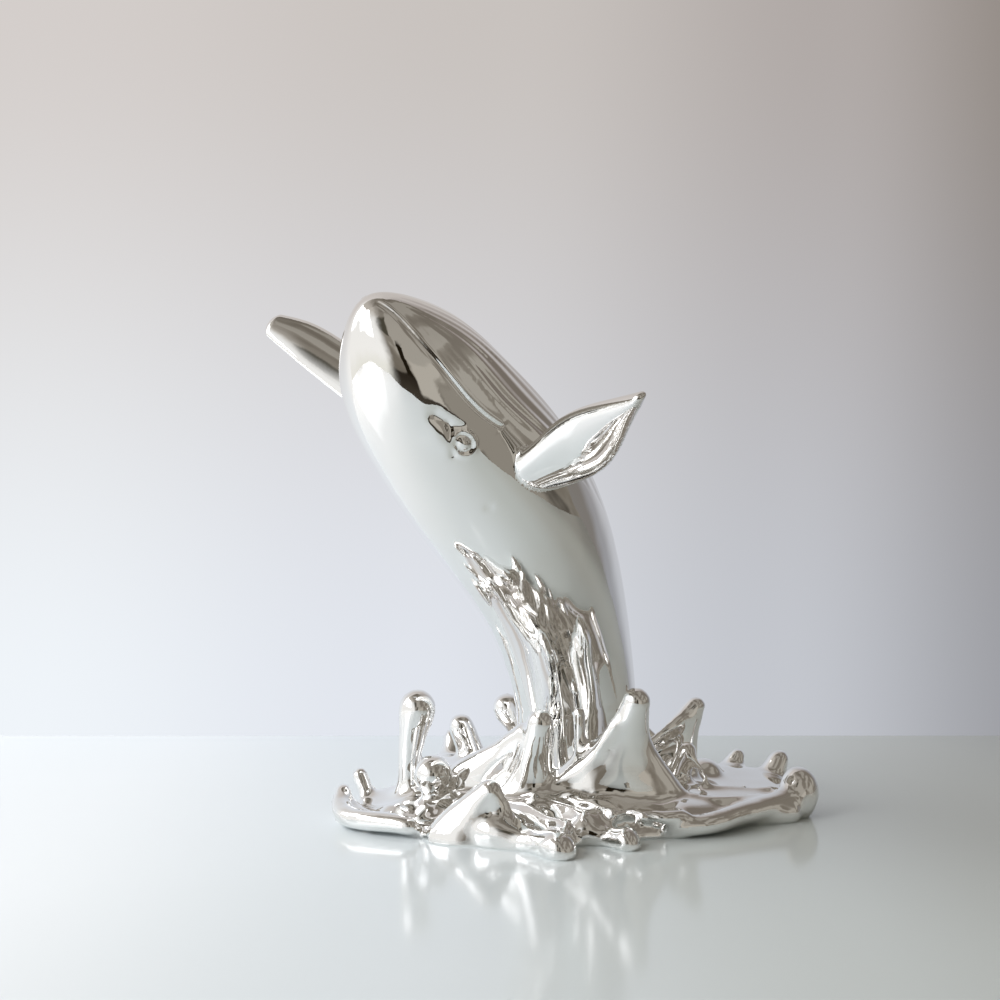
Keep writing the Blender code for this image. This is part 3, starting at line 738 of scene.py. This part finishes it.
mesh = bpy.data.meshes.new("silver_whale")
skin.to_mesh(mesh)
skin.free()
mesh.shade_smooth()
whale = bpy.data.objects.new("silver_whale", mesh)
bpy.context.scene.collection.objects.link(whale)
plating = bpy.data.materials.new("silver_plating")
plating.use_nodes = True
silver = plating.node_tree.nodes["Principled BSDF"]
silver.inputs["Metallic"].default_value = 1
nodes, links = plating.node_tree.nodes, plating.node_tree.links
place = nodes.new("ShaderNodeTexCoord").outputs["Object"]


def grain(scale, detail):
    pattern = nodes.new("ShaderNodeTexNoise")
    pattern.inputs["Scale"].default_value = scale
    pattern.inputs["Detail"].default_value = detail
    links.new(place, pattern.inputs["Vector"])
    return pattern.outputs["Fac"]


def spread(value, low, high):
    span = nodes.new("ShaderNodeMapRange")
    span.inputs["From Min"].default_value, span.inputs["From Max"].default_value = PATTERN_SPAN
    span.inputs["To Min"].default_value = low
    span.inputs["To Max"].default_value = high
    links.new(value, span.inputs["Value"])
    return span.outputs[0]


links.new(spread(grain(CLOUD_SCALE, 3), *ROUGHNESS), silver.inputs["Roughness"])
tint = nodes.new("ShaderNodeMix")
tint.data_type = "RGBA"
tint.inputs["A"].default_value = (*SILVER, 1)
tint.inputs["B"].default_value = (*WARM_SILVER, 1)
links.new(spread(grain(TINT_SCALE, 1), 0, 1), tint.inputs["Factor"])
links.new(tint.outputs["Result"], silver.inputs["Base Color"])
normal = None
for scale, height in SKIN_WAVES:
    bump = nodes.new("ShaderNodeBump")
    bump.inputs["Distance"].default_value = height
    links.new(grain(scale, 0), bump.inputs["Height"])
    if normal:
        links.new(normal, bump.inputs["Normal"])
    normal = bump.outputs[0]
links.new(normal, silver.inputs["Normal"])
mesh.materials.append(plating)
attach(whale, "root")
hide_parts("whale_sculpture")


# The table it stands on: a pale glossy top whose colour holds painted light, lighter towards the left and
# greyer towards the right. The wall behind it stands on the table's far edge.
WALL_BEHIND = 0.215
WALL_HEIGHT = 1.4
STAGE_END = 1.2
TABLE = ((-STAGE_END, -0.86), (-0.46, -0.86), (0.88, WALL_BEHIND), (-STAGE_END, WALL_BEHIND))
TABLE_ROUGHNESS = 0.12


def stage_plane(name, corners, paint):
    form = bmesh.new()
    form.faces.new([form.verts.new(corner) for corner in corners])
    mesh = bpy.data.meshes.new(name)
    form.to_mesh(mesh)
    form.free()
    plane = bpy.data.objects.new(name, mesh)
    bpy.context.scene.collection.objects.link(plane)
    mesh.materials.append(paint)
    return plane


def ramp(nodes, stops):
    """A colour ramp with stops of a place and a grey or a colour."""
    node = nodes.new("ShaderNodeValToRGB")
    node.color_ramp.interpolation = "EASE"
    while len(node.color_ramp.elements) < len(stops):
        node.color_ramp.elements.new(0.5)
    for element, (place, colour) in zip(node.color_ramp.elements, stops):
        element.position = place
        element.color = (*colour, 1)
    return node


def tone(red, green, blue):
    """A colour from the 0 to 255 values that a screen shows."""
    return tuple(((value / 255 + 0.055) / 1.055) ** 2.4 for value in (red, green, blue))


def axis_ramp(nodes, links, source, axis, low, high, stops):
    """A ramp that runs along one axis of a vector, from low to high."""
    split = nodes.new("ShaderNodeSeparateXYZ")
    span = nodes.new("ShaderNodeMapRange")
    span.inputs["From Min"].default_value = low
    span.inputs["From Max"].default_value = high
    links.new(source, split.inputs[0])
    links.new(split.outputs[axis], span.inputs["Value"])
    colours = ramp(nodes, stops)
    links.new(span.outputs[0], colours.inputs[0])
    return colours.outputs[0]


def mixed(nodes, links, factor, first, second):
    mix = nodes.new("ShaderNodeMix")
    mix.data_type = "RGBA"
    links.new(factor, mix.inputs["Factor"])
    for socket, value in ((mix.inputs["A"], first), (mix.inputs["B"], second)):
        if isinstance(value, tuple):
            socket.default_value = (*value, 1)
        else:
            links.new(value, socket)
    return mix.outputs["Result"]


table_paint_and_painted_light = bpy.data.materials.new("table_paint_and_painted_light")
table_paint_and_painted_light.use_nodes = True
nodes, links = table_paint_and_painted_light.node_tree.nodes, table_paint_and_painted_light.node_tree.links
place = nodes.new("ShaderNodeTexCoord").outputs["Object"]
# Painted light: the top's colour runs from near white on the left to grey on the right, as if lit from the
# left.
painted_light_from_left = axis_ramp(nodes, links, place, 0, -0.6, 0.6, (
    (0.0, tone(250, 252, 253)), (0.25, tone(240, 245, 248)), (0.42, tone(222, 230, 233)),
    (0.58, tone(204, 211, 209)), (0.70, tone(196, 200, 195)), (0.90, tone(168, 170, 164))))
lacquer = nodes["Principled BSDF"]
links.new(painted_light_from_left, lacquer.inputs["Base Color"])
lacquer.inputs["Roughness"].default_value = TABLE_ROUGHNESS
lacquer.inputs["IOR"].default_value = 1.5
stage_plane("table_top", [(*corner, 0) for corner in TABLE], table_paint_and_painted_light)

# The wall is painted light: it glows though it is no lamp, near white on the left and grey-brown on the right,
# whiter and bluer low down and warmer grey higher up, as if lit from the left. Its back lets light through.
wall_painted_light = bpy.data.materials.new("wall_painted_light")
wall_painted_light.use_nodes = True
nodes, links = wall_painted_light.node_tree.nodes, wall_painted_light.node_tree.links
nodes.remove(nodes["Principled BSDF"])
place = nodes.new("ShaderNodeTexCoord").outputs["Object"]
high = axis_ramp(nodes, links, place, 0, -1.0, 1.0, (
    (0.0, tone(240, 238, 236)), (0.30, tone(212, 206, 203)), (0.48, tone(200, 194, 190)),
    (0.60, tone(176, 169, 166)), (0.68, tone(146, 138, 132)), (0.78, tone(120, 112, 104))))
low = axis_ramp(nodes, links, place, 0, -1.0, 1.0, (
    (0.0, tone(255, 255, 255)), (0.30, tone(240, 245, 250)), (0.44, tone(226, 230, 238)),
    (0.58, tone(196, 199, 206)), (0.68, tone(156, 157, 162)), (0.80, tone(128, 124, 120))))
up = axis_ramp(nodes, links, place, 2, 0.0, 0.55, ((0.0, (0, 0, 0)), (1.0, (1, 1, 1))))
glow = nodes.new("ShaderNodeEmission")
links.new(mixed(nodes, links, up, low, high), glow.inputs["Color"])
through = nodes.new("ShaderNodeBsdfTransparent")
sided = nodes.new("ShaderNodeMixShader")
links.new(nodes.new("ShaderNodeNewGeometry").outputs["Backfacing"], sided.inputs["Fac"])
links.new(glow.outputs[0], sided.inputs[1])
links.new(through.outputs[0], sided.inputs[2])
links.new(sided.outputs[0], nodes["Material Output"].inputs["Surface"])
stage_plane("wall", [
    (x, WALL_BEHIND, z) for x, z in
    ((-STAGE_END, 0), (STAGE_END, 0), (STAGE_END, WALL_HEIGHT), (-STAGE_END, WALL_HEIGHT))], wall_painted_light)


# What the mirror finish shows: soft grey-beige tones, a bright patch high on the left and dark
# below the table. A large soft lamp over the left of the table lights the table alone.
BRIGHT_PATCH = (3.6, 3.6, 3.7)
BACKDROP = (204, 205, 208)
UNREST = 0.16
UNREST_SCALE = 4.0
MOTTLING_SCALE = 2.6
MOTTLING_DETAIL = 1.0
LAMP_WATTS = 5.5
LAMP_SIZE = 0.9
LAMP_PLACE = (-0.80, -0.30, 0.80)

world = bpy.data.worlds.new("surroundings")
bpy.context.scene.world = world
world.use_nodes = True
nodes, links = world.node_tree.nodes, world.node_tree.links
straight = nodes.new("ShaderNodeTexCoord").outputs["Generated"]
unrest = nodes.new("ShaderNodeTexNoise")
unrest.inputs["Scale"].default_value = UNREST_SCALE
centred = nodes.new("ShaderNodeVectorMath")
centred.inputs[1].default_value = (0.5, 0.5, 0.5)
centred.operation = "SUBTRACT"
bent = nodes.new("ShaderNodeVectorMath")
bent.operation = "MULTIPLY_ADD"
bent.inputs[1].default_value = (UNREST,) * 3
links.new(straight, unrest.inputs["Vector"])
links.new(unrest.outputs["Color"], centred.inputs[0])
links.new(centred.outputs[0], bent.inputs[0])
links.new(straight, bent.inputs[2])
direction = bent.outputs[0]
black, white = (0, 0, 0), (1, 1, 1)
ahead = axis_ramp(nodes, links, direction, 2, -1, 1, (
    (0.25, tone(62, 56, 48)), (0.385, tone(44, 38, 31)), (0.415, tone(112, 105, 95)),
    (0.52, tone(134, 128, 118)), (0.75, tone(140, 134, 125)), (0.88, tone(130, 124, 116)),
    (1.0, tone(118, 112, 104))))
mottling = nodes.new("ShaderNodeTexNoise")
mottling.inputs["Scale"].default_value = MOTTLING_SCALE
mottling.inputs["Detail"].default_value = MOTTLING_DETAIL
links.new(direction, mottling.inputs["Vector"])
mottled = ramp(nodes, ((0.40, tone(104, 96, 86)), (0.50, tone(130, 123, 113)), (0.58, tone(182, 177, 168))))
links.new(mottling.outputs["Fac"], mottled.inputs[0])
behind = axis_ramp(nodes, links, direction, 2, -1, 1, (
    (0.42, black), (0.50, (0.6, 0.6, 0.6)), (1.0, (0.45, 0.45, 0.45))))
shown = mixed(nodes, links, behind, ahead, mottled.outputs[0])


def patch(shown, across, up, colour):
    """Paints one soft-edged patch: its low and high edge and their softness across (x) and up (z)."""
    masks = []
    for axis, (low, high, edge) in ((0, across), (2, up)):
        masks.append(axis_ramp(nodes, links, direction, axis, -1, 1, (
            (low - edge, black), (low, white), (high, white), (high + edge, black))))
    return mixed(nodes, links, masks[0], shown, mixed(nodes, links, masks[1], shown, colour))


shown = patch(shown, (0.62, 0.78, 0.04), (0.30, 0.53, 0.03), tone(180, 174, 164))
shown = patch(shown, (0.83, 0.95, 0.05), (0.20, 0.46, 0.04), tone(142, 136, 126))
shown = patch(shown, (0.515, 0.575, 0.012), (0.40, 0.66, 0.03), tone(30, 24, 15))
shown = patch(shown, (0.33, 0.44, 0.02), (0.71, 0.80, 0.02), tone(74, 70, 60))
left = axis_ramp(nodes, links, direction, 2, -1, 1, (
    (0.25, tone(170, 168, 164)), (0.38, tone(240, 239, 232)), (0.50, tone(250, 249, 247)),
    (0.76, tone(246, 246, 245)), (0.88, tone(190, 184, 176)), (1.0, tone(150, 143, 135))))
leftward = axis_ramp(nodes, links, direction, 0, -1, 1, ((0.25, white), (0.40, black)))
shown = mixed(nodes, links, leftward, shown, left)
shown = patch(shown, (0.05, 0.18, 0.03), (0.60, 0.84, 0.02), BRIGHT_PATCH)
seen = mixed(nodes, links, nodes.new("ShaderNodeLightPath").outputs["Is Camera Ray"], shown, tone(*BACKDROP))
links.new(seen, nodes["Background"].inputs["Color"])
nodes["Background"].inputs["Strength"].default_value = 1.0

lamp = bpy.data.lights.new("soft_lamp", "AREA")
lamp.shape = "DISK"
lamp.size = LAMP_SIZE
lamp.energy = LAMP_WATTS
soft_lamp = bpy.data.objects.new("soft_lamp", lamp)
soft_lamp.location = LAMP_PLACE
soft_lamp.rotation_euler = (-Vector(LAMP_PLACE)).to_track_quat("-Z", "Y").to_euler()
soft_lamp.visible_glossy = False
bpy.context.scene.collection.objects.link(soft_lamp)


# The camera, where the photo was taken from, and plain screen colours.
bpy.context.scene.view_settings.view_transform = "Standard"
lens = bpy.data.cameras.new("camera")
lens.lens = 50
lens.sensor_width = 36
camera = bpy.data.objects.new("camera", lens)
camera.location = (-0.0432, -0.80, 0.185)
camera.rotation_euler = (math.radians(89.3), 0, 0)
bpy.context.scene.collection.objects.link(camera)
bpy.context.scene.camera = camera
